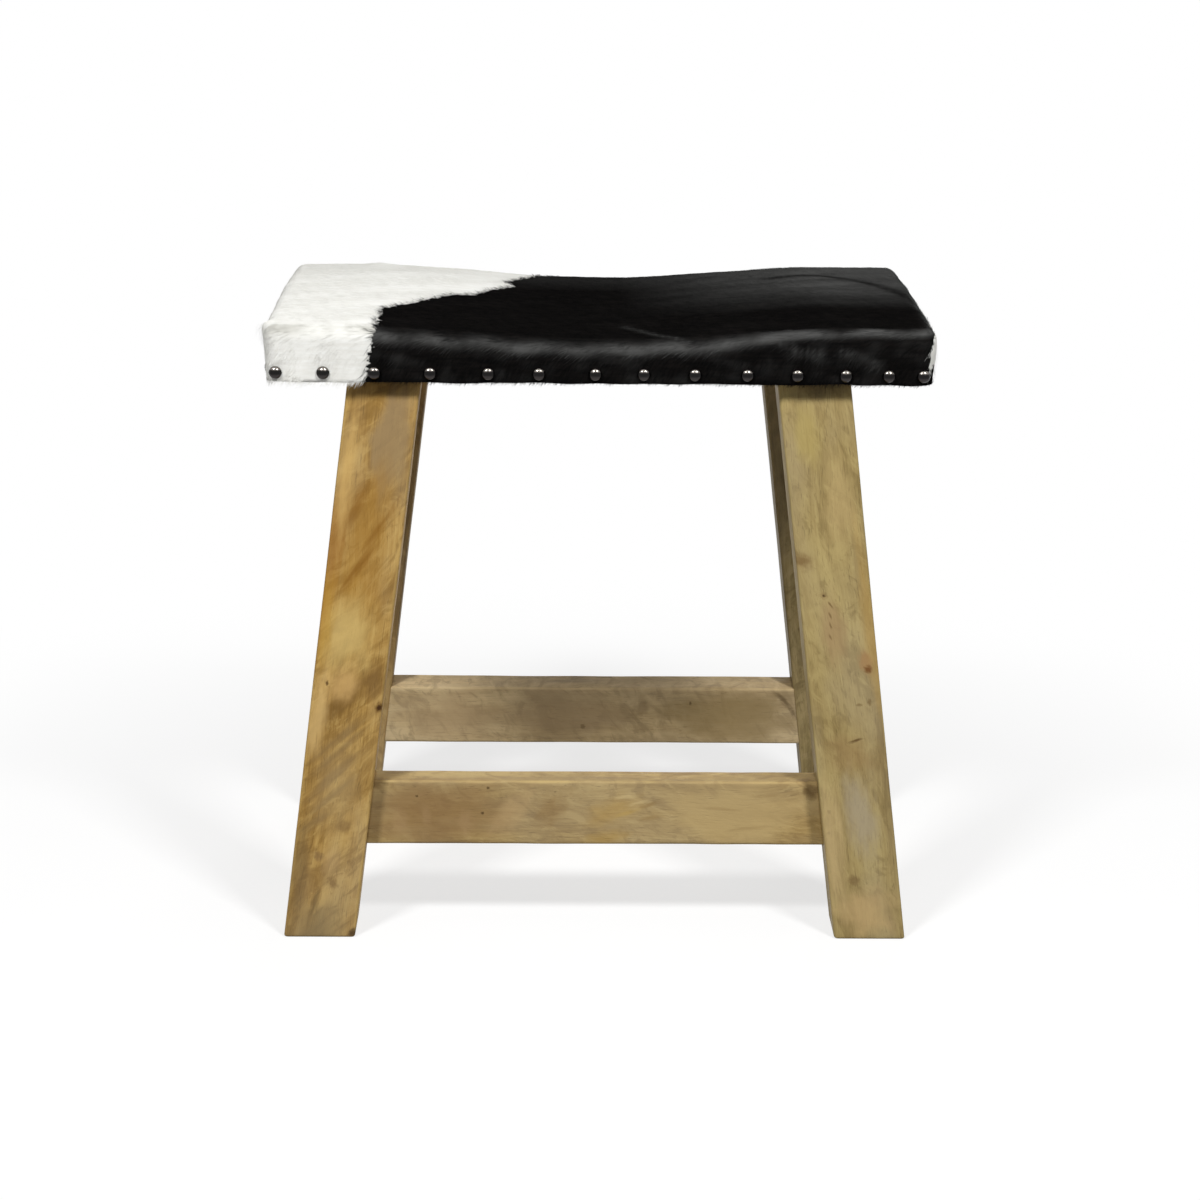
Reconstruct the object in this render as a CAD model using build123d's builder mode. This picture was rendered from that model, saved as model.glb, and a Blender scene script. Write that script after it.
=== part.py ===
from build123d import *
from math import atan2, degrees, sqrt
import os

os.makedirs("parts", exist_ok=True)

# A low bench with a dished wooden seat covered in hair-on cowhide, on four legs that
# splay both along and across the seat, with a stretcher at the front and at the back.
# X runs along the seat, Y across it with the front at -Y, and Z is up from the floor.

# Seat, outside the hide
seat_length = 500.0
seat_depth = 285.0
seat_underside = 436.0
seat_edge_radius = 10.0  # roll of the hide over the front and back edges
end_roll_share = 0.97    # the ends and the upright corners are rolled a little tighter
side_draw = 1.8          # how far the hide is drawn in at its lower edge
draw_share = 0.85        # share of the height below the rolled edge that is drawn in
crown = 3.0              # rise of the cushion across the seat

# Board, foam and hide
board_end_thickness = 31.0
saddle_dip = 9.5
saddle_land = 55.0       # level stretch at each end of the dished top
board_edge_radius = 4.0
foam_thickness = 8.0
hide_thickness = 2.5
soft_clearance = 0.3     # between the hide, the foam and the board

# Legs
leg_width = 55.0         # along the seat
leg_breadth = 46.0       # across the seat
leg_top_x = 160.5
leg_top_y = 106.0
foot_spread_x = 54.0     # how far a foot stands outside the top of its leg
foot_spread_y = 31.0
leg_ease = 2.5           # rounding of the long arrises
foot_ease = 2.0

# Joints between the legs and the board
top_tenon_width = 32.0
top_tenon_breadth = 24.0
top_tenon_length = 13.0
tenon_fit = 0.15         # gap round every tenon
mortise_end_gap = 1.0

# Stretchers
stretcher_rise = 69.0    # underside above the floor
stretcher_height = 51.0
stretcher_thickness = 30.0
stretcher_ease = 1.8
rail_tenon_height = 34.0
rail_tenon_thickness = 12.0
rail_tenon_length = 24.0

# Coach screws down through the board into the legs
screw_head_across = 10.0  # across the flats of the hexagon
screw_head_height = 4.0
screw_shank_radius = 3.0
screw_length = 62.0      # with the head
screw_sink = 1.5         # head below the top of the board
screw_fit = 0.2          # gap round the shank
screw_bore_radius = 8.0  # room for the socket round the head

# Upholstery nails
nail_head_radius = 4.9
nail_head_height = 3.3
nail_head_sides = 8      # the heads are forged in flat facets
nail_side_shares = (0.84, 0.2)   # how far down and in the facets round the rim are cut
nail_crown_shares = (0.3, 0.38)  # the same for the flatter facets above them
nail_shank_width = 1.8
nail_point_length = 4.0
nail_tip_width = 0.4
nail_length = 13.0
nail_rise = 7.2          # above the lower edge of the hide
nail_fit = 0.1
nail_head_clearance = 0.3

# Places of the nails along each side, as shares of half that side. They are driven by
# eye, so the steps between them differ.
front_nail_shares = (-0.962, -0.821, -0.669, -0.504, -0.332, -0.181, -0.013,
                     0.131, 0.283, 0.439, 0.588, 0.732, 0.860, 0.963)
back_nail_shares = (-0.955, -0.812, -0.659, -0.511, -0.358, -0.197, -0.052,
                    0.104, 0.257, 0.403, 0.561, 0.714, 0.852, 0.958)
left_nail_shares = (-0.858, -0.617, -0.372, -0.121, 0.129, 0.384, 0.622, 0.861)
right_nail_shares = (-0.862, -0.631, -0.365, -0.134, 0.112, 0.371, 0.634, 0.856)

cut_overrun = 20.0       # how far a cutting body passes the thing it cuts

# Worked out from the above
half_length = seat_length / 2
half_depth = seat_depth / 2
board_top = seat_underside + board_end_thickness
seat_top = board_top + foam_thickness + hide_thickness + 2 * soft_clearance
draw_height = draw_share * (seat_top - saddle_dip - seat_edge_radius - seat_underside)
draw_angle = degrees(atan2(side_draw, draw_height))
splay_x = foot_spread_x / seat_underside
splay_y = foot_spread_y / seat_underside
leg_slant = Vector(splay_x, splay_y, -1).length   # length along a leg to its height
saddle_half = half_length - saddle_land
board_inset = side_draw + hide_thickness + soft_clearance
board_length = seat_length - 2 * board_inset
board_depth = seat_depth - 2 * board_inset
board_corner_radius = (
    end_roll_share * (seat_edge_radius - hide_thickness) - side_draw - soft_clearance
)


def dip_at(x):
    """Depth of the saddle below its ends: two equal arcs each side, meeting half way down."""
    along = saddle_half - abs(x)
    if along <= 0:
        return 0.0
    half_step = saddle_half / 2
    half_drop = saddle_dip / 2
    radius = (half_step**2 + half_drop**2) / (2 * half_drop)
    if along < half_step:
        return radius - sqrt(radius**2 - along**2)
    rest = saddle_half - along
    return saddle_dip - (radius - sqrt(radius**2 - rest**2))


def draw_saddle(level, reach):
    """The dished line of the seat: level ends, and an ogee down to the middle and up again."""
    left_land = (-saddle_half, level)
    left_turn = (-saddle_half / 2, level - saddle_dip / 2)
    bottom = (0, level - saddle_dip)
    right_turn = (saddle_half / 2, level - saddle_dip / 2)
    right_land = (saddle_half, level)
    Line((-reach, level), left_land)
    TangentArc(left_land, left_turn, tangent=(1, 0))
    ThreePointArc(left_turn, bottom, right_turn)
    TangentArc(right_land, right_turn, tangent=(-1, 0))
    Line(right_land, (reach, level))


def seat_form(inset):
    """The outside of the covered seat, set in by inset at the sides and at the top."""
    reach = half_length - inset
    wide = half_depth - inset
    level = seat_top - inset
    waist = seat_underside + draw_height
    roll = seat_edge_radius - inset
    end_roll = end_roll_share * roll
    with BuildPart() as form:
        with BuildLine(Plane.XZ) as saddle:
            draw_saddle(seat_top, reach)
        with BuildSketch(Plane.YZ.offset(-reach)) as section:
            with BuildLine():
                ThreePointArc((-wide, level), (0, level + crown), (wide, level))
                Polyline(
                    (wide, level),
                    (wide, seat_underside),
                    (-wide, seat_underside),
                    (-wide, level),
                )
            make_face()
            fillet(section.vertices().group_by(Axis.Z)[-1], roll)
        sweep(path=saddle.line)
        split(bisect_by=Plane.XY.offset(waist), keep=Keep.TOP)
        left_end = form.faces().sort_by(Axis.X)[0]
        right_end = form.faces().sort_by(Axis.X)[-1]
        fillet(left_end.edges().sort_by(Axis.Z)[1:] + right_end.edges().sort_by(Axis.Z)[1:], end_roll)
        with BuildSketch(Plane.XY.offset(waist)):
            RectangleRounded(2 * reach, 2 * wide, end_roll)
        extrude(amount=-draw_height, taper=draw_angle)
    return form.part


def under_saddle(level, depth):
    """A block whose top is the dished line at level and whose bottom is the seat's underside."""
    reach = half_length + cut_overrun
    with BuildPart() as block:
        with BuildSketch(Plane.XZ):
            with BuildLine():
                draw_saddle(level, reach)
                Polyline(
                    (-reach, level),
                    (-reach, seat_underside),
                    (reach, seat_underside),
                    (reach, level),
                )
            make_face()
        extrude(amount=depth / 2, both=True)
    return block.part


# The four legs, each with its name and the sides of the seat that it stands under.
corners = (
    ("leg_front_left", -1, -1),
    ("leg_front_right", 1, -1),
    ("leg_rear_left", -1, 1),
    ("leg_rear_right", 1, 1),
)


def leg_top(side, end, height):
    """The plane at a height in which the leg's axis meets the seat's underside."""
    return Plane.XY.offset(height) * Pos(side * leg_top_x, end * leg_top_y)


def leg_line(side, end):
    """The direction down a leg's axis."""
    return Vector(side * splay_x, end * splay_y, -1)


def screw_plane(side, end):
    """Where a leg screw's head lies, on the leg's axis, looking out of the board."""
    rise = board_end_thickness - dip_at(leg_top_x) - screw_sink
    origin = Vector(side * leg_top_x, end * leg_top_y, seat_underside) - leg_line(side, end) * rise
    return Plane(origin=origin, z_dir=leg_line(side, end) * -1)


def stretcher_plane(end):
    """The middle section of a stretcher. It leans as its two legs do."""
    middle = stretcher_rise + stretcher_height / 2
    inset = (leg_breadth - stretcher_thickness) / 2
    out = leg_top_y + splay_y * (seat_underside - middle) - inset
    return Plane(
        origin=(0, end * out, middle),
        x_dir=(0, 1, end * splay_y),
        z_dir=(1, 0, 0),
    )


def shoulder_plane(side):
    """The inner face of the legs at one end of the seat, looking outwards."""
    return Plane(
        origin=(side * (leg_top_x - leg_width / 2), 0, seat_underside),
        z_dir=(side, 0, splay_x),
    )


rail_half_reach = (
    leg_top_x
    - leg_width / 2
    + splay_x * (seat_underside - stretcher_rise - stretcher_height / 2)
    + rail_tenon_length
)


def nail_planes(side, shares):
    """Where the nail heads of one side lie: on the hide, square to its slant, looking out."""
    rise = seat_underside + nail_rise
    out = nail_head_clearance - side_draw * (1 - nail_rise / draw_height)
    planes = []
    for share in shares:
        if side in ("front", "back"):
            sign = 1 if side == "back" else -1
            place = (share * half_length, sign * (half_depth + out), rise)
            normal = (0, sign * draw_height, -side_draw)
            planes.append(Plane(origin=place, x_dir=(1, 0, 0), z_dir=normal))
        else:
            sign = 1 if side == "right" else -1
            place = (sign * (half_length + out), share * half_depth, rise)
            normal = (sign * draw_height, 0, -side_draw)
            planes.append(Plane(origin=place, x_dir=(0, 1, 0), z_dir=normal))
    return planes


nail_rows = {
    "front": nail_planes("front", front_nail_shares),
    "back": nail_planes("back", back_nail_shares),
    "left": nail_planes("left", left_nail_shares),
    "right": nail_planes("right", right_nail_shares),
}
all_nails = [plane for row in nail_rows.values() for plane in row]


def nail_shank(gap):
    """The square shank of a nail, hanging from the origin, made larger by gap."""
    with BuildPart() as shank:
        with BuildSketch(Plane.XY):
            Rectangle(nail_shank_width + 2 * gap, nail_shank_width + 2 * gap)
        extrude(amount=-(nail_length + gap))
    return shank.part


def is_board_rim(edge):
    """True for an edge of the board's outline on its dished side."""
    near_end = abs(edge.center().X) > board_length / 2 - board_corner_radius
    near_side = abs(edge.center().Y) > board_depth / 2 - board_corner_radius
    lowest = edge.bounding_box().min.Z
    return lowest > seat_underside + board_edge_radius and (near_end or near_side)


# Seat board: solid wood, flat below and dished above, with mortises for the leg tenons.
with BuildPart() as seat_board:
    with BuildSketch(Plane.XY.offset(seat_underside)):
        RectangleRounded(board_length, board_depth, board_corner_radius)
    extrude(amount=board_end_thickness)
    add(under_saddle(board_top, seat_depth), mode=Mode.INTERSECT)
    fillet(seat_board.edges().filter_by(is_board_rim), board_edge_radius)
    for name, side, end in corners:
        with BuildSketch(leg_top(side, end, seat_underside)):
            Rectangle(top_tenon_width + 2 * tenon_fit, top_tenon_breadth + 2 * tenon_fit)
        extrude(
            amount=(top_tenon_length + mortise_end_gap) * leg_slant,
            dir=leg_line(side, end) * -1,
            mode=Mode.SUBTRACT,
        )
        with Locations(screw_plane(side, end)):
            CounterBoreHole(
                radius=screw_shank_radius + screw_fit,
                counter_bore_radius=screw_bore_radius,
                counter_bore_depth=screw_head_height,
                depth=board_end_thickness,
            )
    with Locations(*all_nails):
        add(nail_shank(nail_fit), mode=Mode.SUBTRACT)
seat_board.part.label = "seat_board"
export_step(seat_board.part, "parts/seat_board.step")


# Foam pad: lies on the dished board and bulges a little past it under the hide.
with BuildPart() as foam_pad:
    add(seat_form(hide_thickness + soft_clearance))
    add(under_saddle(board_top + soft_clearance, seat_depth), mode=Mode.SUBTRACT)
foam_pad.part.label = "foam_pad"
export_step(foam_pad.part, "parts/foam_pad.step")


# Cowhide cover: drawn over the foam and down the edges of the board, and cut off level
# with the board's underside.
with BuildPart() as cowhide_cover:
    add(seat_form(0.0))
    add(seat_form(hide_thickness), mode=Mode.SUBTRACT)
    with Locations(*all_nails):
        add(nail_shank(nail_fit), mode=Mode.SUBTRACT)
cowhide_cover.part.label = "cowhide_cover"
export_step(cowhide_cover.part, "parts/cowhide_cover.step")


# Legs: straight stock cut level at both ends, with a stub tenon on the leg's own axis at
# the top and a blind mortise low down in the inner face.
for name, side, end in corners:
    with BuildPart() as leg:
        with BuildSketch(leg_top(side, end, seat_underside)):
            Rectangle(leg_width, leg_breadth)
        extrude(amount=seat_underside * leg_slant, dir=leg_line(side, end))
        chamfer(leg.faces().sort_by(Axis.Z)[0].edges(), foot_ease)
        fillet(leg.edges().filter_by(Axis((0, 0, 0), leg_line(side, end))), leg_ease)
        with BuildSketch(leg_top(side, end, seat_underside)):
            Rectangle(top_tenon_width, top_tenon_breadth)
        extrude(amount=top_tenon_length * leg_slant, dir=leg_line(side, end) * -1)
        with BuildSketch(stretcher_plane(end)):
            Rectangle(
                rail_tenon_thickness + 2 * tenon_fit,
                rail_tenon_height + 2 * tenon_fit,
            )
        extrude(amount=side * (rail_half_reach + mortise_end_gap), mode=Mode.SUBTRACT)
        with Locations(screw_plane(side, end)):
            Hole(radius=screw_shank_radius + screw_fit, depth=screw_length + screw_fit)
    leg.part.label = name
    export_step(leg.part, f"parts/{name}.step")


# Stretchers: shoulders cut to the slant of the legs' inner faces, with a tenon beyond.
for name, end in (("front_stretcher", -1), ("rear_stretcher", 1)):
    with BuildPart() as stretcher:
        with BuildSketch(stretcher_plane(end)):
            Rectangle(stretcher_thickness, stretcher_height)
        extrude(amount=half_length, both=True)
        fillet(stretcher.edges().filter_by(Axis.X), stretcher_ease)
        split(bisect_by=shoulder_plane(1), keep=Keep.BOTTOM)
        split(bisect_by=shoulder_plane(-1), keep=Keep.BOTTOM)
        with BuildSketch(stretcher_plane(end)):
            Rectangle(rail_tenon_thickness, rail_tenon_height)
        extrude(amount=rail_half_reach, both=True)
    stretcher.part.label = name
    export_step(stretcher.part, f"parts/{name}.step")


# Leg screws: plain shanks with hexagonal heads, sunk in round bores and driven down through
# the board on each leg's axis.
with BuildPart() as screw:
    with BuildSketch(Plane.XY):
        RegularPolygon(screw_head_across / 2, side_count=6, major_radius=False)
    extrude(amount=-screw_head_height)
    with BuildSketch(Plane.XY.offset(-screw_head_height)):
        Circle(screw_shank_radius)
    extrude(amount=screw_head_height - screw_length)

with BuildPart() as leg_screws:
    with Locations(*[screw_plane(side, end) for name, side, end in corners]):
        add(screw.part)
leg_screws.part.label = "leg_screws"
export_step(leg_screws.part, "parts/leg_screws.step")


# Upholstery nails: a domed head, hammered in facets, on a short square shank with a point.
with BuildPart() as nail:
    with BuildSketch(Plane.XY):
        RegularPolygon(nail_head_radius, nail_head_sides)
    extrude(amount=nail_head_height)
    for down_share, in_share in (nail_side_shares, nail_crown_shares):
        top = nail.faces().sort_by(Axis.Z)[-1]
        chamfer(
            top.edges(),
            length=in_share * nail_head_radius,
            length2=down_share * nail_head_height,
            reference=top,
        )
    add(nail_shank(0.0))
    tip = nail.faces().sort_by(Axis.Z)[0]
    narrowing = (nail_shank_width - nail_tip_width) / 2
    chamfer(tip.edges(), length=narrowing, length2=nail_point_length, reference=tip)

for side, planes in nail_rows.items():
    with BuildPart() as row:
        with Locations(*planes):
            add(nail.part)
    row.part.label = f"nails_{side}"
    export_step(row.part, f"parts/nails_{side}.step")
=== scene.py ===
import bpy
import numpy as np
from math import pi, radians
from mathutils import Matrix, Vector


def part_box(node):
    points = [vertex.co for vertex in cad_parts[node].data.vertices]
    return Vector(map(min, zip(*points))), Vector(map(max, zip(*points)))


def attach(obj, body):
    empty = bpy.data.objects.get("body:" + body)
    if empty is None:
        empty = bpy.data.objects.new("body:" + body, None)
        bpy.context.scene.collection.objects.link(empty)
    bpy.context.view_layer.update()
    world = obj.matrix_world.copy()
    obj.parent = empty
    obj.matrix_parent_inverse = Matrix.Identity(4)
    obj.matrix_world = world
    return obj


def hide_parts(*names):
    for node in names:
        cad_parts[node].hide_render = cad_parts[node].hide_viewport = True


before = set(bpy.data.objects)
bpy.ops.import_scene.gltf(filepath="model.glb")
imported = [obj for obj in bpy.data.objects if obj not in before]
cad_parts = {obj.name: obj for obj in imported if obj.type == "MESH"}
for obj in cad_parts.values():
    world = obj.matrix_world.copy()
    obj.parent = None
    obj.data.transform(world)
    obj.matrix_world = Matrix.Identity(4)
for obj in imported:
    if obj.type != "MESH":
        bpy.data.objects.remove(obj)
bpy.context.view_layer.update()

# The four legs: straight lengths of waxed mango wood, sawn level at both ends and splayed
# two ways. Each is planed by hand, its arrises worn soft, and it goes up into the board
# with a stub tenon, glued and screwed.

leg_width = 0.055
leg_breadth = 0.046
tenon_width = 0.032
tenon_breadth = 0.024
floor_ease = 0.002
arris_radius = (0.0015, 0.0028)
arris_limits = (0.0008, 0.0045)
face_sway = 0.00012
sway_pace = 5
stock_steps = (22, 22, 6)
foot_rings = 5
leg_rings = 200
stain_depth = 0.014
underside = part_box("cowhide_cover")[0].z
tenon_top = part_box("leg_front_left")[1].z


def tone(code):
    """A colour written as six hexadecimal digits of sRGB, as linear light with full alpha."""
    shares = [int(code[i:i + 2], 16) / 255 for i in (0, 2, 4)]
    light = [s / 12.92 if s <= 0.04045 else ((s + 0.055) / 1.055) ** 2.4 for s in shares]
    return (*light, 1.0)


class Recipe:
    """The nodes of one finish or one effect, added a step at a time."""

    def __init__(self, tree):
        self.tree = tree
        self.shader = tree.nodes.get("Principled BSDF")

    def add(self, kind, wires=None, **settings):
        """One node: its settings, then its inputs, each joined or set."""
        made = self.tree.nodes.new("ShaderNode" + kind)
        for name, value in settings.items():
            setattr(made, name, value)
        for key, value in (wires or {}).items():
            if isinstance(value, bpy.types.NodeSocket):
                self.tree.links.new(value, made.inputs[key])
            else:
                made.inputs[key].default_value = value
        return made

    def join(self, source, target):
        self.tree.links.new(source, target)

    def sum(self, operation, *values):
        return self.add("Math", dict(enumerate(values)), operation=operation).outputs[0]

    def vector(self, operation, *values, **wires):
        wires = dict(enumerate(values)) | wires
        return self.add("VectorMath", wires, operation=operation).outputs[0]

    def length(self, vector):
        return self.add("VectorMath", {0: vector}, operation="LENGTH").outputs["Value"]

    def turn(self, place, angle):
        """A place turned about Y, the way through a piece."""
        wires = {"Vector": place, "Angle": angle}
        return self.add("VectorRotate", wires, rotation_type="Y_AXIS").outputs[0]

    def ramp(self, value, low, high, floor=0.0, ceiling=1.0):
        """A smooth step from floor at low to ceiling at high."""
        wires = {"Value": value, "From Min": low, "From Max": high}
        wires |= {"To Min": floor, "To Max": ceiling}
        return self.add("MapRange", wires, interpolation_type="SMOOTHSTEP").outputs["Result"]

    def noise(self, place, scale=1.0, detail=2.0, roughness=0.5, distortion=0.0):
        wires = {"Vector": place, "Scale": scale, "Detail": detail, "Roughness": roughness}
        wires["Distortion"] = distortion
        return self.add("TexNoise", wires).outputs["Fac"]

    def drift(self, place, scale=1.0, detail=2.0):
        """Noise that pushes three ways, each from about -0.5 to 0.5."""
        wires = {"Vector": place, "Scale": scale, "Detail": detail}
        colour = self.add("TexNoise", wires).outputs["Color"]
        return self.vector("SUBTRACT", colour, (0.5, 0.5, 0.5))

    def stretch(self, place, scale):
        return self.add("Mapping", {"Vector": place, "Scale": scale}).outputs["Vector"]

    def tint(self, share, under, over):
        """The colour over laid on the colour under, by share."""
        wires = {0: share, 6: under, 7: over}
        return self.add("Mix", wires, data_type="RGBA").outputs[2]

    def marked(self, title, output="Fac"):
        return self.add("Attribute", attribute_name=title).outputs[output]

    def place(self):
        return self.add("TexCoord").outputs["Object"]

    def group(self, effect, wires):
        return self.add("Group", wires, node_tree=effect).outputs

    def lay_on(self, colour, roughness, plain, height=None, strength=0.0, distance=0.0):
        """Feeds the shader its colour, its roughness and the values that are the same all
        over. A height raises the surface, by its strength times the distance in metres."""
        inputs = self.shader.inputs
        self.join(colour, inputs["Base Color"])
        self.join(roughness, inputs["Roughness"])
        for title, value in plain.items():
            inputs[title].default_value = value
        if height is not None:
            wires = {"Height": height, "Strength": strength, "Distance": distance}
            self.join(self.add("Bump", wires).outputs["Normal"], inputs["Normal"])


def new_effect(name, takes, gives):
    """An empty node group and the recipe that fills it. Each socket is a number, a vector or
    a colour by the size of the value it starts from."""
    group = bpy.data.node_groups.new(name, "ShaderNodeTree")
    kinds = {1: "NodeSocketFloat", 3: "NodeSocketVector", 4: "NodeSocketColor"}
    for way, sockets in (("INPUT", takes), ("OUTPUT", gives)):
        for title, value in sockets.items():
            kind = kinds[np.size(value)]
            socket = group.interface.new_socket(name=title, in_out=way, socket_type=kind)
            socket.default_value = value
    entry = group.nodes.new("NodeGroupInput")
    leave = group.nodes.new("NodeGroupOutput")
    return group, Recipe(group), entry.outputs, leave.inputs


def new_finish(name):
    """A material and the recipe of its shader."""
    material = bpy.data.materials.new(name)
    material.use_nodes = True
    return material, Recipe(material.node_tree)


def outline(steps_across, steps_through, corner_steps):
    """Round an eased rectangle, anticlockwise from its right side: the place on its core, in
    shares of its half sizes, and the way out. Along a side the place moves and the way out
    holds; round a corner the place holds and the way out turns a quarter."""
    swing = np.linspace(0, pi / 2, corner_steps + 1)[1:-1]
    place = []
    away = []
    runs = (steps_through, steps_across, steps_through, steps_across)
    for spin, steps in zip((1, 1j, -1, -1j), runs):
        along = np.linspace(-1, 1, steps + 1)
        place += [(1 + 1j * along) * spin, np.full(len(swing), (1 + 1j) * spin)]
        away += [np.full(len(along), spin), np.exp(1j * swing) * spin]
    place = np.concatenate(place)
    away = np.concatenate(away)
    return place.real, place.imag, away.real, away.imag


def waver(seed, *places, waves=7, turns=(0.6, 4.0)):
    """A soft irregular number between about -1 and 1 that wanders over the places: a sum of
    sines with drawn directions and phases, between turns[0] and turns[1] cycles a unit."""
    draw = np.random.default_rng(seed)
    total = 0
    for wave in range(waves):
        push = draw.normal(size=len(places))
        push *= draw.uniform(*turns) / np.linalg.norm(push)
        angle = sum(p * place for p, place in zip(push, places)) * 2 * pi
        total = total + np.sin(angle + draw.uniform(0, 2 * pi))
    return total / np.sqrt(waves * 2)


def mark_points(mesh, **marks):
    """Gives a mesh attributes: for each, a number or a vector at every point."""
    for title, values in marks.items():
        vector = values.size == 3 * len(mesh.vertices)
        made = mesh.attributes.new(title, "FLOAT_VECTOR" if vector else "FLOAT", "POINT")
        field = "vector" if vector else "value"
        made.data.foreach_set(field, values.astype(np.float32).ravel())


def new_piece(name, points, faces, *finishes, **marks):
    """A mesh from whole arrays: its points, its faces as arrays with a column for each
    corner, and its marks."""
    mesh = bpy.data.meshes.new(name)
    corners = np.concatenate([some.ravel() for some in faces]).astype(np.int32)
    sizes = np.concatenate([np.full(len(some), some.shape[1]) for some in faces])
    starts = np.concatenate([[0], np.cumsum(sizes)[:-1]]).astype(np.int32)
    mesh.vertices.add(points.size // 3)
    mesh.vertices.foreach_set("co", points.astype(np.float32).ravel())
    mesh.loops.add(len(corners))
    mesh.loops.foreach_set("vertex_index", corners)
    mesh.polygons.add(len(sizes))
    mesh.polygons.foreach_set("loop_start", starts)
    mesh.update(calc_edges=True)
    mark_points(mesh, **marks)
    for finish in finishes:
        mesh.materials.append(finish)
    mesh.shade_smooth()
    piece = bpy.data.objects.new(name, mesh)
    bpy.context.scene.collection.objects.link(piece)
    return piece


def ring_faces(rings, sides):
    """Quads between the rings of a closed profile carried along a path. They face outwards
    where the profile runs anticlockwise seen from the last ring."""
    ring = np.arange(rings - 1)[:, None] * sides
    step = np.arange(sides)
    beside = (step + 1) % sides
    corners = [ring + step, ring + beside, ring + sides + beside, ring + sides + step]
    return np.stack(corners, axis=-1).reshape(-1, 4)


def tube_faces(rings, sides, clockwise=False):
    """The quads of a carried profile and a face over each end, turned over where it runs
    clockwise."""
    ends = np.arange(sides)[None, :]
    faces = [ring_faces(rings, sides), ends[:, ::-1], ends + (rings - 1) * sides]
    return [some[:, ::-1] for some in faces] if clockwise else faces


# The wood's colour, in layers of noise stretched to so many waves a metre: patches, streaks
# and fibres, then leaning bands and mottle, flecks, pores, a grey haze and rubbed arrises.
wood_takes = dict.fromkeys(("Pale", "Tan", "Brown", "Grey"), tone("9C8F78"))
wood_takes |= dict.fromkeys(("Grain", "Shift"), (0, 0, 0))
wood_takes |= dict.fromkeys(("Lean", "Figure", "Haze", "Worn"), 0.0)
wood_gives = {"Colour": (0, 0, 0, 1), "Gloss": 0.0, "Relief": 0.0}
mango_wood, mix, takes, gives = new_effect("mango_wood", wood_takes, wood_gives)
moved = mix.vector("ADD", takes["Grain"], takes["Shift"])
drift = mix.vector("SCALE", mix.drift(mix.stretch(moved, (14, 14, 5))), Scale=0.03)
bent = mix.vector("ADD", moved, drift)
patches = mix.noise(mix.stretch(bent, (26, 26, 7)), detail=3.0, roughness=0.55)
streaks = mix.noise(mix.stretch(bent, (170, 170, 7)), detail=4.0, roughness=0.65)
fibres = mix.noise(mix.stretch(bent, (950, 950, 26)), detail=2.0)
leant = mix.turn(bent, takes["Lean"])
bands = mix.stretch(leant, (75, 18, 14))
bands = mix.ramp(mix.noise(bands, detail=3.0, roughness=0.6, distortion=0.6), 0.47, 0.66)
level = mix.sum("MULTIPLY", patches, 0.5)
level = mix.sum("MULTIPLY_ADD", streaks, 0.32, level)
level = mix.sum("MULTIPLY_ADD", fibres, 0.18, level)
lower = mix.tint(mix.ramp(level, 0.34, 0.5), takes["Brown"], takes["Tan"])
colour = mix.tint(mix.ramp(level, 0.46, 0.64), lower, takes["Pale"])
colour = mix.tint(mix.sum("MULTIPLY", bands, takes["Figure"]), colour, takes["Brown"])
mottle = mix.stretch(leant, (95, 60, 42))
mottle = mix.noise(mottle, detail=5.0, roughness=0.62, distortion=0.8)
mottled = mix.tint(mix.ramp(mottle, 0.36, 0.5, 0.55, 0.0), colour, takes["Brown"])
colour = mix.tint(mix.ramp(mottle, 0.52, 0.66, 0.0, 0.5), mottled, takes["Pale"])
flecks = mix.noise(mix.stretch(bent, (420, 420, 190)), detail=3.0, roughness=0.6)
flecks = mix.sum("MULTIPLY", mix.ramp(flecks, 0.62, 0.72), 0.4)
colour = mix.tint(flecks, colour, takes["Brown"])
pores = mix.ramp(mix.noise(mix.stretch(bent, (1500, 1500, 85)), detail=1.0), 0.62, 0.72)
colour = mix.tint(mix.sum("MULTIPLY", pores, 0.34), colour, tone("3C2A18"))
dull = mix.ramp(mix.noise(mix.stretch(moved, (19, 19, 6)), detail=3.0), 0.42, 0.68)
colour = mix.tint(mix.sum("MULTIPLY", dull, takes["Haze"]), colour, takes["Grey"])
rubbed = mix.noise(mix.stretch(moved, (60, 60, 22)), detail=3.0)
rubbed = mix.sum("MULTIPLY", mix.ramp(rubbed, 0.35, 0.65, 0.0, 0.7), takes["Worn"])
mix.join(mix.tint(rubbed, colour, takes["Pale"]), gives["Colour"])
gloss = mix.ramp(streaks, 0.35, 0.65, 0.42, 0.54)
mix.join(mix.sum("MULTIPLY_ADD", dull, 0.16, gloss), gives["Gloss"])
relief = mix.sum("MULTIPLY_ADD", fibres, 0.35, mix.sum("MULTIPLY", streaks, 0.6))
mix.join(mix.sum("MULTIPLY_ADD", pores, -0.5, relief), gives["Relief"])

# A stain on the wood, also used for the painted shadow at the top of the front legs: a
# leaning oval whose outline is ragged with noise.
stain_takes = dict.fromkeys(("Colour", "Over"), (0, 0, 0, 1))
stain_takes |= dict.fromkeys(("Grain", "Middle", "Size"), (1, 1, 1))
stain_takes |= dict.fromkeys(("Lean", "Soft", "Share"), 1.0)
wood_stain_and_shade, mix, takes, gives = new_effect("wood_stain_and_shade", stain_takes, {"Colour": (0, 0, 0, 1)})
away = mix.turn(mix.vector("SUBTRACT", takes["Grain"], takes["Middle"]), takes["Lean"])
away = mix.vector("DIVIDE", away, takes["Size"])
seed = mix.vector("ADD", away, mix.vector("SCALE", takes["Middle"], Scale=97.0))
ragged = mix.drift(seed, scale=1.6, detail=4.0)
away = mix.length(mix.vector("MULTIPLY_ADD", ragged, (1.1, 1.1, 1.1), away))
share = mix.ramp(away, 1.0, mix.sum("SUBTRACT", 1.0, takes["Soft"]))
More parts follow.
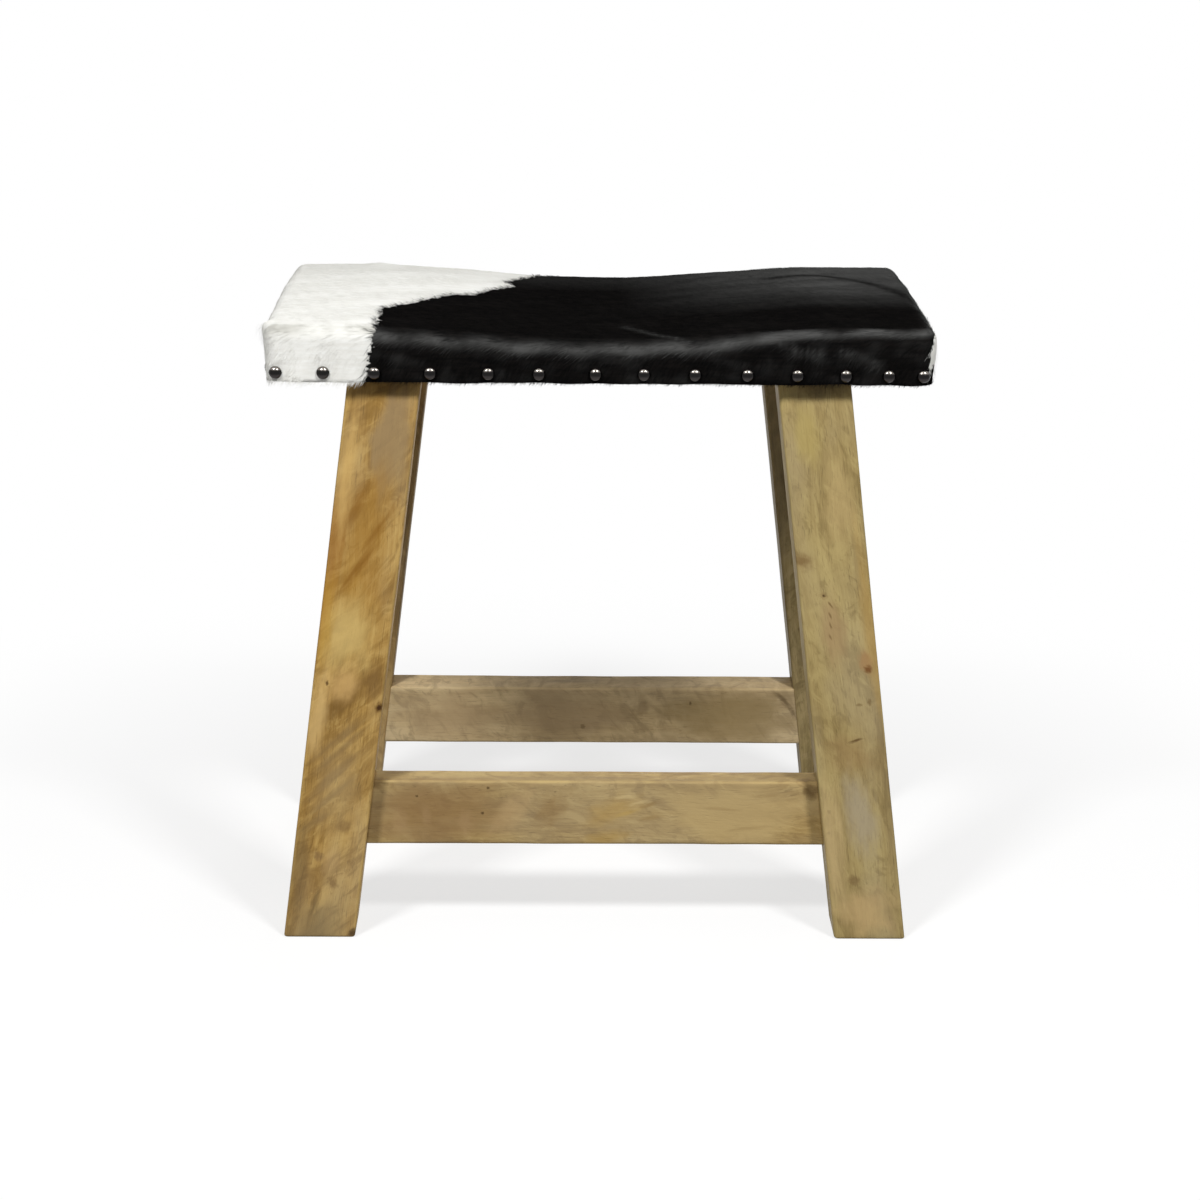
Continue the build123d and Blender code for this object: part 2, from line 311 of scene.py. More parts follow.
share = mix.sum("MULTIPLY", share, takes["Share"])
mix.join(mix.tint(share, takes["Colour"], takes["Over"]), gives["Colour"])


def wood_finish(name, shift, lean, tones, figure, stains_and_shade=(), face=0.0, grain=None, haze=0.3):
    """Waxed mango wood of one piece, from its own grain, in a pale, a tan and a brown tone.
    Each stain is a patch, a band or a knot on the face that far through the piece: how far
    across and along it lies, half its width and length, in millimetres, its lean in degrees,
    its softness, its colour and how strongly it shows, both in hundredths. The dark band at
    the top of each front leg is no stain but painted shadow."""
    material, mix = new_finish(name)
    grain = mix.marked("grain", "Vector") if grain is None else grain(mix)
    pale, tan, brown = map(tone, tones)
    wires = {"Grain": grain, "Worn": mix.marked("worn"), "Shift": shift, "Lean": lean}
    wires |= {"Pale": pale, "Tan": tan, "Brown": brown, "Figure": figure, "Haze": haze}
    wood = mix.group(mango_wood, wires)
    colour = wood["Colour"]
    for across, along, width, length, slant, soft, over, share in stains_and_shade:
        wires = {"Colour": colour, "Grain": grain, "Over": tone(over), "Share": share / 100}
        wires |= {"Middle": (across / 1000, face, along / 1000), "Soft": soft / 100}
        wires |= {"Size": (width / 1000, stain_depth, length / 1000), "Lean": -radians(slant)}
        colour = mix.group(wood_stain_and_shade, wires)["Colour"]
    plain = {"Specular IOR Level": 0.1}
    mix.lay_on(colour, wood["Gloss"], plain, wood["Relief"], 0.35, 0.0006)
    return material


def plane_stock(seed, half_width, half_breadth, runs):
    """Hand-planed stock: an eased rectangle carried along runs metres, whose arrises' radius
    wanders and whose faces sway by a fraction of a millimetre. Gives offsets across and
    through the piece, and how worn each point is."""
    core_x, core_y, out_x, out_y = outline(*stock_steps)
    along = runs[:, None] * sway_pace
    turn = np.arctan2(core_y, core_x)[None, :]
    share = 0.5 + 0.5 * waver(seed, along, np.cos(turn), np.sin(turn))
    least, most = arris_radius
    radius = np.clip(least + (most - least) * share, *arris_limits)
    sway = face_sway * waver(seed + 1, along, out_x[None, :] * 0.3, out_y[None, :] * 0.3)
    across = core_x * (half_width - radius) + out_x * (radius + sway)
    through = core_y * (half_breadth - radius) + out_y * (radius + sway)
    worn = np.minimum(np.abs(out_x * out_y) * 2, 1.0) * np.ones_like(radius)
    return across, through, worn


def leg_line(name):
    """Where a leg's axis meets the floor and the board, from the corners of its box."""
    low, high = np.array(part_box(name))[:, :2]
    right = low + high > 0
    half = np.where(right, 1, -1) * (leg_width, leg_breadth) / 2
    return np.where(right, high, low) - half, np.where(right, low, high) + half


def carve_leg(name, material, seed):
    """One leg: planed stock carried up a slanted line with its section level, its foot eased
    in a quarter round, then a shoulder and a stub tenon on the same line."""
    foot, top = leg_line(name)
    ease = np.linspace(0, pi / 2, foot_rings)
    rise = np.linspace(floor_ease, underside, leg_rings)[1:]
    inset = np.concatenate([floor_ease * (1 - np.sin(ease)), np.zeros(len(rise))])[:, None]
    rise = np.concatenate([floor_ease * (1 - np.cos(ease)), rise])
    across, through, worn = plane_stock(seed, leg_width / 2, leg_breadth / 2, rise)
    across = across * (1 - inset / (leg_width / 2))
    through = through * (1 - inset / (leg_breadth / 2))
    core_x, core_y = outline(*stock_steps)[:2]
    across = np.vstack([across, core_x * tenon_width / 2, core_x * tenon_width / 2])
    through = np.vstack([through, core_y * tenon_breadth / 2, core_y * tenon_breadth / 2])
    worn = np.vstack([worn, worn[:2] * 0])
    rise = np.append(rise, [underside, tenon_top])[:, None] + 0 * across
    share = rise / underside
    x = foot[0] + (top[0] - foot[0]) * share + across
    y = foot[1] + (top[1] - foot[1]) * share + through
    points = np.stack([x, y, rise], axis=-1)
    grain = np.stack([across, through, rise], axis=-1)
    faces = tube_faces(*across.shape)
    leg = new_piece(name + "_wood", points, faces, material, grain=grain, worn=worn)
    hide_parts(name)
    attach(leg, "root")


golden_stains_and_shadow = (
    (11, 388, 20, 52, 3, 50, "917A57", 80),
    (0, 305, 32, 80, 0, 80, "9E742E", 60),
    (-26, 292, 11, 95, 3, 70, "8E5C16", 65),
    (-12, 336, 7, 34, 24, 90, "7E551C", 70),
    (8, 322, 6, 34, 28, 90, "7E551C", 70),
    (-4, 292, 6, 36, 32, 90, "7A5018", 70),
    (-5, 238, 26, 42, 0, 80, "C8AC6C", 75),
    (-4, 187, 13, 48, 46, 75, "785A2E", 75),
    (2, 164, 5, 48, 47, 85, "7E6238", 75),
    (0, 150, 4.4, 46, 46, 85, "785C34", 70),
    (0, 133, 6, 44, 45, 85, "7C6038", 75),
    (-4, 113, 4.4, 38, 46, 85, "80663E", 65),
    (-16, 92, 6, 26, 50, 85, "7C623C", 65),
    (2, 122, 32, 64, 0, 90, "B09A70", 35),
    (10, 90, 7, 8, 20, 80, "785C38", 60),
    (-8, 66, 7, 5, 30, 80, "72583A", 60),
    (5, 44, 7, 5, 60, 80, "705638", 60),
    (-4, 4, 40, 40, 0, 80, "82704F", 75),
    (-7, 28, 4, 16, 12, 80, "5E4A30", 60),
    (-21, 362, 9, 64, 0, 90, "CFAB68", 60),
    (-23, 256, 9, 56, 0, 90, "B88E34", 45),
    (-5, 202, 17, 22, 20, 90, "CBA66A", 70),
    (-21, 178, 11, 46, 0, 90, "CFAE72", 70),
    (19, 205, 11, 24, 0, 90, "705430", 50),
    (-22, 52, 12, 66, 0, 90, "6A5434", 60),
    (2, 62, 12, 16, 0, 90, "B89866", 40),
    (25, 184, 5.5, 6, 0, 90, "5C3E1C", 90),
    (25, 184, 2.4, 2.8, 0, 60, "3A2410", 90),
    (-16.6, 203, 1.8, 2.6, 0, 70, "4A3118", 85),
    (26, 4, 6, 5, 0, 70, "45331F", 85),
    # Painted shadow: a dark band at the top of the leg, where the hide's edge shades it.
    (0, 440, 48, 21, 0, 90, "2A2212", 75),
)
pale_stains_and_shadow = (
    (24, 250, 10, 95, -2, 80, "AD8C4C", 50),
    (-10, 395, 14, 32, 0, 80, "AD9A5E", 60),
    (2, 98, 18, 46, -3, 80, "A5987E", 75),
    (-4, 245, 14, 40, 0, 80, "A0865F", 70),
    (0, 150, 24, 22, 0, 80, "93794F", 60),
    (-22, 300, 11, 9, 20, 80, "745A36", 75),
    (18, 222, 8, 12, 0, 80, "A07A50", 65),
    (19.4, 216, 5, 4, 20, 80, "6E4826", 90),
    (-8.8, 273, 4.4, 3.6, 0, 80, "866C46", 65),
    (-8.8, 273, 1.6, 1.3, 0, 70, "3E2C1A", 90),
    (-4.5, 266, 4.4, 1.2, 60, 80, "6C5534", 75),
    (-5.5, 258, 4, 1.2, 75, 80, "6C5534", 70),
    (-6, 250, 4.2, 1.2, 80, 80, "6C5534", 70),
    (-7, 241, 3.8, 1.2, 70, 80, "6C5534", 65),
    (5, 160, 1.8, 8, 70, 80, "5C4428", 85),
    (10, 188, 3.4, 1.8, 0, 80, "6C5534", 60),
    (18, 190, 2.4, 4, 0, 80, "6C5534", 60),
    (-21.7, 103, 1.9, 2.2, 0, 70, "4A3822", 85),
    (-23.4, 86, 1.7, 1.9, 0, 70, "4A3822", 80),
    (-7, 48, 6.5, 6, 0, 80, "7C6642", 80),
    (0, 20, 32, 26, 0, 80, "BCA070", 70),
    (10, 345, 20, 48, 0, 90, "B8A06E", 50),
    (-21, 74, 13, 82, 0, 90, "C0A878", 70),
    (22, 145, 8, 24, 0, 90, "846E46", 40),
    # Painted shadow: a dark band at the top of the leg, where the hide's edge shades it.
    (0, 440, 48, 21, 0, 90, "2A2212", 75),
)
# Each leg and its seed, and its wood's name, shift, lean, tones, figure and stains.
legs = (
    ("leg_front_left", 11, "golden_mango", (0.0, 0.0, 0.0), -0.75,
     ("C2A262", "AA874A", "80602E"), 0.5, golden_stains_and_shadow),
    ("leg_front_right", 23, "pale_mango", (1.3, 0.4, 0.2), 0.3,
     ("B09D69", "9C8859", "7E6B42"), 0.2, pale_stains_and_shadow),
    ("leg_rear_left", 37, "brown_mango", (2.1, 0.9, 0.7), 0.6,
     ("B59A68", "9C8154", "7A623E"), 0.3),
    # The rear right leg's tones are darker than its wood: partly a dull tone, partly painted
    # shade for the shade it stands in behind the front right leg.
    ("leg_rear_right", 41, "dull_mango", (3.7, 1.9, 1.1), -0.5,
     ("9C8A62", "84744D", "675839"), 0.3),
)
for name, seed, *wood in legs:
    carve_leg(name, wood_finish(*wood, face=-leg_breadth / 2), seed)

# The two stretchers: mango wood rails between the legs at the front and the back. They lean
# as the legs do, their shoulders are cut to the legs' slant, and they are tenoned in.

rail_height = 0.051
rail_depth = 0.030
shoulder_tuck = 0.0004
rail_rings = 191


def saw_stretcher(name, material, seed):
    """One stretcher: planed stock carried along the seat in a leaning plane, each line of it
    cut where it meets the legs' inner faces, which stand further out lower down."""
    low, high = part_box(name)
    middle = (low + high) / 2
    foot, top = leg_line("leg_front_right")
    splay_x = (foot[0] - top[0]) / underside
    splay_y = (top[1] - foot[1]) / underside
    lean = np.arctan(splay_y) * (1 if middle.y > 0 else -1)
    runs = np.linspace(-1, 1, rail_rings)
    half_height = rail_height / 2
    height, depth, worn = plane_stock(seed, half_height, rail_depth / 2, runs * high.x)
    z = middle.z + height * np.cos(lean) + depth * np.sin(lean)
    y = middle.y - height * np.sin(lean) + depth * np.cos(lean)
    reach = top[0] - leg_width / 2 + splay_x * (underside - z) + shoulder_tuck
    x = runs[:, None] * reach
    points = np.stack([x, y, z], axis=-1)
    grain = np.stack([height, depth, x], axis=-1)
    faces = tube_faces(*height.shape, clockwise=True)
    rail = new_piece(name + "_wood", points, faces, material, grain=grain, worn=worn)
    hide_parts(name)
    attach(rail, "root")


knotty_stains = (
    (0, -125, 36, 74, 0, 70, "876A44", 75),
    (-8, -152, 16, 9, 5, 90, "A58860", 40),
    (-2, -132, 13, 6, 8, 90, "A58860", 35),
    (-8, -101, 14, 9, 0, 90, "A58860", 40),
    (8, -118, 10, 12, 30, 90, "7C6040", 40),
    (-0.4, -88, 1.7, 1.7, 0, 70, "4A3822", 85),
    (19.7, -83.6, 1.5, 1.7, 0, 70, "4A3822", 80),
    (13, -138.6, 1.4, 1.6, 0, 70, "4A3822", 80),
    (0, -66, 36, 14, -32, 90, "B3966A", 50),
    (4, -34, 26, 15, -32, 90, "866A42", 55),
    (2, 14, 17, 30, 20, 90, "B09050", 50),
    (13, 22, 2.6, 14, 4, 90, "CDB684", 50),
    (8, 32, 2, 12, 14, 90, "CDB684", 40),
    (0, 24, 2.6, 16, 20, 90, "B99A52", 40),
    (7, 42, 3, 14, 20, 90, "7E6236", 45),
    (-4, 42, 3, 14, 12, 90, "85693C", 40),
    (-20, 8, 9, 26, 8, 90, "A07E36", 50),
    (0, 112, 36, 72, 0, 70, "B49C6C", 80),
    (-12, 118, 2.4, 22, 6, 90, "927A50", 45),
    (4, 96, 2.2, 24, -4, 90, "987F54", 45),
    (14, 130, 2.2, 18, 3, 90, "927A50", 40),
    (17, 166, 9, 8, 0, 80, "665030", 80),
    (24, -170, 7, 8, 0, 80, "6E5738", 70),
)
shaded_stains = (
    # The first three rows are broad bands that darken the rear stretcher's front face back from
    # its lightened tones.
    (0, -120, 34, 70, 0, 80, "A28B68", 75),
    (0, -20, 34, 70, 0, 80, "988262", 75),
    (0, 120, 34, 84, 0, 80, "89754F", 85),
    (9, 42, 10, 16, 70, 85, "6C593D", 50),
    (12, 84, 2.6, 1.8, 0, 80, "4E3E29", 75),
    (15, 164, 4, 18, -42, 90, "57452F", 70),
    (4, 172, 3, 10, -60, 90, "57452F", 60),
    (-10, -8, 3, 3, 0, 60, "6A563A", 60),
    (-6, -150, 10, 6, 20, 70, "A08A68", 50),
)
rails = (
    ("front_stretcher", 53, "knotty_mango", (5.1, 0.3, 0.9), 0.4,
     ("C0A771", "A88E5B", "866D43"), 0.25, knotty_stains),
    # The rear stretcher's tones are lighter than its wood: painted light, against the shade the
    # seat casts on its top.
    ("rear_stretcher", 67, "shaded_mango", (6.7, 0.8, 0.1), 0.9,
     ("D0B98E", "BCA47A", "94805E"), 0.2, shaded_stains),
)
for name, seed, *wood in rails:
    saw_stretcher(name, wood_finish(*wood, face=-rail_depth / 2), seed)

# The seat board: staves of plain wood glued side by side, planed and left bare. It is bored
# for the leg screws, which are zinc-plated coach screws.

stave_width = 0.068
board_tones = ("C9AC6E", "AC8A50", "7C5E36")


def stave_grain(mix):
    """Grain along the seat, with each stave moved on to a part of the wood of its own."""
    axes = mix.add("SeparateXYZ", {0: mix.place()}).outputs
    stave = mix.sum("FLOOR", mix.sum("DIVIDE", axes["Y"], stave_width))
    along = mix.sum("MULTIPLY_ADD", stave, 0.83, axes["X"])
    beside = mix.sum("MULTIPLY_ADD", stave, 0.31, axes["Y"])
    return mix.add("CombineXYZ", {0: beside, 1: axes["Z"], 2: along}).outputs[0]


def finish_node(name, material):
    """Gives a piece from the frame its finish."""
    for place in bpy.data.objects[name].material_slots:
        place.material = material


bare_wood = wood_finish(
    "bare_board", (8.3, 0.0, 0.0), 0.7, board_tones, 0.5, grain=stave_grain, haze=0.1
)
finish_node("seat_board", bare_wood)
zinc, mix = new_finish("zinc_plate")
spangle = mix.noise(mix.place(), scale=900.0, detail=3.0)
grey = mix.tint(mix.ramp(spangle, 0.3, 0.7), tone("9FA3A4"), tone("C4C6C2"))
mix.lay_on(grey, mix.ramp(spangle, 0.3, 0.7, 0.28, 0.46), {"Metallic": 1.0})
finish_node("leg_screws", zinc)

# The foam pad: a thin slab of open-celled foam, laid on the dished board. It bulges up
# to the hide and rolls over the board's edges.

saddle_dip = 0.0095
saddle_land = 0.055
crown = 0.003
edge_roll = 0.010
corner_roll = 0.0125
side_draw = 0.0018
hide_thickness = 0.0025
pad_gap = 0.0003
pad_grid = (24, 5, 1, 90, 50, 5)
half_length, half_depth, hide_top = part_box("cowhide_cover")[1]
seat_top = hide_top - crown
board_drop = seat_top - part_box("seat_board")[1].z - pad_gap


def dip(x):
    """Depth of the saddle: an ogee of two equal arcs on each side of the middle, that meet
    half way down, and nothing past the level lands at the ends."""
    half_step = (half_length - saddle_land) / 2
    radius = (half_step**2 + (saddle_dip / 2) ** 2) / saddle_dip
    along = np.clip(2 * half_step - np.abs(x), 0, 2 * half_step)
    rest = 2 * half_step - along
    upper = radius - np.sqrt(radius**2 - np.minimum(along, half_step) ** 2)
    lower = saddle_dip - radius + np.sqrt(radius**2 - np.minimum(rest, half_step) ** 2)
    return np.where(along < half_step, upper, lower)


def seat_level(x, y):
    """Height of the hide's top: the seat's, less the saddle's dip, plus a crown that falls
    away as the square of the distance from the middle line."""
    return seat_top - dip(x) + crown * (1 - (y / half_depth) ** 2)


def seat_rings(inset, top_rings, roll_rings, side_rings, *steps):
    """The outside of the covered seat, set in by inset: rings that grow from the middle of
    the top, turn down in a quarter circle, and go down the drawn-in sides. Gives x, y and z,
    and the way out of the seat's plan, ring by ring."""
    core_x, core_y, out_x, out_y = outline(*steps)
    roll = edge_roll - inset
    corner = corner_roll - inset
    swing = np.linspace(0, pi / 2, roll_rings + 1)[:, None]
    back = roll * (1 - np.sin(swing))
    plan_x = core_x * (half_length - inset - corner) + out_x * (corner - back)
    plan_y = core_y * (half_depth - inset - corner) + out_y * (corner - back)
    grow = np.linspace(0, 1, top_rings + 1)[1:-1, None]
    top_x = plan_x[0] * grow
    top_y = plan_y[0] * grow
    edge = seat_level(plan_x[0], plan_y[0]) - inset
    down = np.linspace(0, 1, side_rings + 1)[1:, None]
    foot = edge - roll - underside
    side_x = plan_x[-1] - out_x * side_draw * down
    side_y = plan_y[-1] - out_y * side_draw * down
    x = np.vstack([top_x, plan_x, side_x])
    y = np.vstack([top_y, plan_y, side_y])
    rolled = edge - roll * (1 - np.cos(swing))
    z = np.vstack([seat_level(top_x, top_y) - inset, rolled, edge - roll - foot * down])
    return x, y, z, out_x, out_y


def pour_pad():
    """The pad: the covered seat's rings set in under the hide, stopped at the board's edge
    and turned back under along the dished board."""
    x, y, z, out_x, out_y = seat_rings(hide_thickness + pad_gap, *pad_grid)
    x, y, z = x[:-1], y[:-1], z[:-1]
    board = seat_level(x, y) - crown * (1 - (y / half_depth) ** 2) - board_drop
    upper = np.stack([x, y, np.maximum(z, board)], axis=-1)
    return np.concatenate([upper, np.stack([x, y, board], axis=-1)[::-1]])


foam, mix = new_finish("open_foam")
cells = mix.add("TexVoronoi", {"Vector": mix.place(), "Scale": 900.0}).outputs["Distance"]
yellowed = mix.noise(mix.place(), scale=14.0, detail=3.0)
colour = mix.tint(mix.ramp(yellowed, 0.35, 0.7), tone("E6D9A8"), tone("D2BC78"))
colour = mix.tint(mix.ramp(cells, 0.1, 0.5, 0.5, 0.0), colour, tone("9C8748"))
mix.lay_on(colour, mix.ramp(cells, 0.0, 0.6, 0.95, 0.8), {}, cells, 0.6, 0.0008)
pad_points = pour_pad()
pad_faces = tube_faces(*pad_points.shape[:2], clockwise=True)
pad = new_piece("foam_slab", pad_points, pad_faces, foam)
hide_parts("foam_pad")
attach(pad, "root")

# The cowhide: one piece of hide with its hair on, black but for an off-white end, drawn
# tight over the pad and down the board's edges, folded at the corners and nailed. Its
# lower edge is cut by eye, level with the underside of the board.

nail_rise = 0.0072
nail_draw = side_draw * 0.72
nail_shares = {
    "front": (-962, -821, -669, -504, -332, -181, -13, 131, 283, 439, 588, 732, 860, 963),
    "back": (-955, -812, -659, -511, -358, -197, -52, 104, 257, 403, 561, 714, 852, 958),
    "left": (-858, -617, -372, -121, 129, 384, 622, 861),
    "right": (-862, -631, -365, -134, 112, 371, 634, 856),
}
nail_facing = {"front": (0, -1), "back": (0, 1), "left": (-1, 0), "right": (1, 0)}


def nail_places(side):
    """Where the nails of one side go through the hide: thousandths of half the side along
    it, on the hide's face, which is drawn in a little there."""
    face = np.array(nail_facing[side])
    half = np.array([half_length, half_depth])
    along = np.array(nail_shares[side])[:, None] / 1000 * half * np.abs(face[::-1])
    rise = np.full((len(along), 1), underside + nail_rise)
    return np.hstack([along + face * (half - nail_draw), rise])


all_nails = np.concatenate([nail_places(side) for side in nail_facing])


def slope(value, start, span):
    """0 up to start, 1 a span further on, and straight between."""
    return np.clip((value - start) / span, 0, 1)


def bell(distance, width):
    """1 at no distance, and e to the power of minus (distance over width) squared."""
    return np.exp(-((distance / width) ** 2))


def spread_flat(x, y, z):
    """Where a point of the stretched hide was on the flat hide: its place in plan, moved out
    from the seat by its drop below the top."""
    over_x = np.maximum(np.abs(x) - (half_length - corner_roll), 0)
    over_y = np.maximum(np.abs(y) - (half_depth - corner_roll), 0)
    far = np.maximum(np.hypot(over_x, over_y), 1e-9)
    drop = np.maximum(seat_level(x, y) - z, 0)
    return x + np.sign(x) * over_x / far * drop, y + np.sign(y) * over_y / far * drop


# The edge of the off-white hair, in metres on the flat hide, and a white patch on the right
# end.
white_end = (
    (-0.1734, -0.195), (-0.1722, -0.171), (-0.17, -0.158), (-0.1662, -0.14), (-0.1648, -0.105),
    (-0.1635, -0.072), (-0.1545, -0.06), (-0.142, -0.048), (-0.128, -0.027), (-0.114, -0.004),
    (-0.098, 0.002), (-0.089, 0.024), (-0.078, 0.043), (-0.0655, 0.062), (-0.076, 0.078),
    (-0.064, 0.1), (-0.049, 0.128), (-0.029, 0.141), (0.005, 0.149), (0.042, 0.153),
    (0.056, 0.166), (0.048, 0.196), (-0.34, 0.2), (-0.34, -0.2),
)
white_blaze = (
    (0.255, -0.152), (0.253, -0.12), (0.2555, -0.06), (0.262, 0.01), (0.26, 0.05),
    (0.27, 0.085), (0.295, 0.08), (0.296, -0.095), (0.274, -0.148), (0.27, -0.16),
    (0.262, -0.16),
)


def far_from(line, x, y):
    """The distance of each point from a line through the places given."""
    best = np.full(x.shape, 9.0)
    for (ax, ay), (bx, by) in zip(line, line[1:]):
        share = ((x - ax) * (bx - ax) + (y - ay) * (by - ay)) / ((bx - ax) ** 2 + (by - ay) ** 2)
        share = np.clip(share, 0, 1)
        best = np.minimum(best, np.hypot(x - ax - share * (bx - ax), y - ay - share * (by - ay)))
    return best


def depth_inside(patch, x, y):
    """How far each point lies inside a closed outline, and outside it as a negative number:
    the distance to it, signed by how many of its edges a line to the right crosses."""
    closed = patch + patch[:1]
    inside = np.zeros(x.shape, bool)
    for (ax, ay), (bx, by) in zip(closed, closed[1:]):
        if ay != by:
            inside ^= ((ay > y) != (by > y)) & (x < (bx - ax) * (y - ay) / (by - ay) + ax)
    far = far_from(closed, x, y)
    return np.where(inside, far, -far)


def whiteness(x, y, z):
    """How far inside the off-white hair each point of the hide lies, in metres."""
    flat = spread_flat(x, y, z)
    return np.maximum(depth_inside(white_end, *flat), depth_inside(white_blaze, *flat))


def stand_off(points):
    """Height above the seat and the way up from it: the distance outside a box with rolled
    edges, whose top follows the saddle."""
    x, y, z = points.T
    reach = np.stack(
        [
            np.maximum(np.abs(x) - (half_length - edge_roll), 0) * np.sign(x),
            np.maximum(np.abs(y) - (half_depth - edge_roll), 0) * np.sign(y),
            np.maximum(z - (seat_level(x, y) - edge_roll), 0),
        ],
        axis=-1,
    )
    far = np.maximum(np.linalg.norm(reach, axis=1, keepdims=True), 1e-9)
    return far - edge_roll, reach / far


# Where tufts stand off the hide: the place, how wide they are, and how high.
tufts = (
    (-0.249, -0.122, 0.474, 0.006, 0.0052),
    (-0.176, 0.14, 0.479, 0.009, 0.0022),
    (-0.227, -0.142, 0.439, 0.007, 0.002),
    (0.25, -0.135, 0.456, 0.015, 0.0016),
    (-0.2495, -0.145, 0.448, 0.007, 0.0055),
)
# Lines along which a sheen is painted on the black hair, and a line at the right end where
# the painted sheen is left out as a painted crease shade, in metres on the flat hide.
painted_crease_line = (
    (0.1397, 0.073), (0.162, 0.081), (0.1834, 0.08), (0.203, 0.065), (0.219, 0.042),
    (0.232, 0.018), (0.24, -0.004), (0.246, -0.031),
)
sheen_streaks = (
    ((0.02, -0.094), (0.0375, -0.118), (0.0484, -0.13), (0.068, -0.146)),
    ((0.134, -0.149), (0.146, -0.157), (0.164, -0.16)),
    ((0.178, -0.159), (0.192, -0.162), (0.208, -0.168)),
)


def edge_light(points):
    """A painted highlight on the black hair and painted shade on the white: the band along the
    rolled edge, a bell over the drop below the top, narrower and higher at the right end,
    times slow and fine wavers. On white hair it shows only at the front."""
    x, y, z = points.T
    out_y, up = stand_off(points)[1].T[1:]
    pale = whiteness(x, y, z) > 0
    narrow = np.maximum(slope(x, 0.10, 0.06), pale)
    centre = 0.0070 - 0.0040 * narrow - 0.0003 * pale + 0.0012 * waver(88, x * 9, y * 9)
    width = 0.0036 - 0.0014 * narrow + 0.0020 * pale
    fine = 0.14 * waver(89, x * 90, y * 90, z * 300)
    edge = bell(seat_level(x, y) - z - centre, width)
    edge = edge * (0.72 + 0.5 * waver(84, x * 9, y * 9) + fine)
    edge = edge * np.clip((1 - up) / 0.05 - 0.2, 0, 1)
    return 1.15 * np.where(pale, 1.1 * edge * np.clip(-out_y / 0.2, 0, 1), edge)


def patch_light(points):
    """A painted sheen: the streaky patch on the top, which grows to the right and to the back,
    less a dark bell along the crease line, where painted crease shade cuts the painted sheen."""
    x, y, z = points.T
    flat_x, flat_y = spread_flat(x, y, z)
    up = stand_off(points)[1][:, 2]
    streaks = waver(92, x * 14 + waver(93, x * 7, y * 7), y * 40)
    sheen_ripple = 0.16 * waver(85, x * 6, y * 20) + 0.12 * streaks
    patch = slope(x, 0.02, 0.16) * slope(flat_y, -0.065, 0.10) * (0.8 + sheen_ripple)
    patch = patch + 0.2 * slope(flat_y, 0.05, 0.06)
    dark = (0.8 + 0.2 * waver(94, x * 12, y * 12)) * bell(far_from(painted_crease_line, flat_x, flat_y), 0.005)
    return patch * (1 - dark) * (up > 0.7)


def painted_hair_light(points):
    """Painted light on the hair: how grey a painted sheen makes the black hair and how dull
    painted shade makes the white: the most of the edge band, the patch and bells along the
    sheen streaks, plus a slight painted sheen on the sides."""
    x, y, z = points.T
    flat = spread_flat(x, y, z)
    shine = np.maximum(edge_light(points), patch_light(points))
    streak_sheen = 0.35 + 0.3 * waver(91, x * 60, y * 60)
    for sheen_line in sheen_streaks:
        shine = np.maximum(shine, streak_sheen * bell(far_from(sheen_line, *flat), 0.003))
    side_sheen = 0.12 * np.maximum(waver(87, x * 16, y * 60, z * 60), 0)
    return np.clip(shine + side_sheen * (seat_level(x, y) - z > 0.009), 0, 1)


hide_grid = (44, 7, 11, 210, 118, 10)
slow_swell, quick_swell = 0.0006, 0.0002
dimple_depth, dimple_reach = 0.0010, 0.008
proud_height, proud_reach = 0.0009, 0.014
hem_waver = 0.0007


def draw_hide():
    """The hide's outer face: the covered seat's rings, closed over the middle and moved along
    its normals: slow swells, a dimple at each nail with the hide proud between, and tufts.
    The lower edge wavers."""
    x, y, z, out_x, out_y = seat_rings(0.0, *hide_grid)
    rings, sides = x.shape
    middle = [0.0, 0.0, seat_level(0.0, 0.0)]
    points = np.concatenate([np.stack([x, y, z], axis=-1).reshape(-1, 3), [middle]])
    first = np.arange(sides)
    fan = np.stack([(first + 1) % sides, np.full(sides, rings * sides), first], axis=-1)
    quads = ring_faces(rings, sides)[:, ::-1]
    hide = new_piece("cowhide_skin", points, [quads, fan])
    normals = np.empty(points.size, np.float32)
    hide.data.vertex_normals.foreach_get("vector", normals)
    x, y, z = points.T
    low = np.clip((seat_top - edge_roll - z) / (seat_top - edge_roll - underside), 0, 1)
    rise = slow_swell * waver(5, x * 5, y * 5, z * 5)
    rise = rise + quick_swell * waver(6, x * 18, y * 18, z * 8)
    nearest = np.full(len(points), 9.0)
    for nail in all_nails:
        apart = np.linalg.norm((points - nail) * [1, 1, 0.75], axis=1)
        nearest = np.minimum(nearest, apart)
    rise = rise - dimple_depth * bell(nearest, dimple_reach) * (low > 0)
    rise = rise + proud_height * low * (1 - bell(nearest, proud_reach))
    for *tuft, reach, stand in tufts:
        rise = rise + 0.5 * stand * bell(np.linalg.norm(points - tuft, axis=1), reach)
    points = points + normals.reshape(-1, 3) * rise[:, None]
    points[:, 2] += slope(low, 0.6, 0.4) ** 2 * hem_waver * waver(7, x * 9, y * 9)
    hide.data.vertices.foreach_set("co", points.astype(np.float32).ravel())
    # The sheen mark is painted light: a painted sheen on the black hair, painted shade on the
    # white.
    mark_points(hide.data, white=whiteness(*points.T), sheen=painted_hair_light(points))
    hide.data.update()
    return hide, points, quads


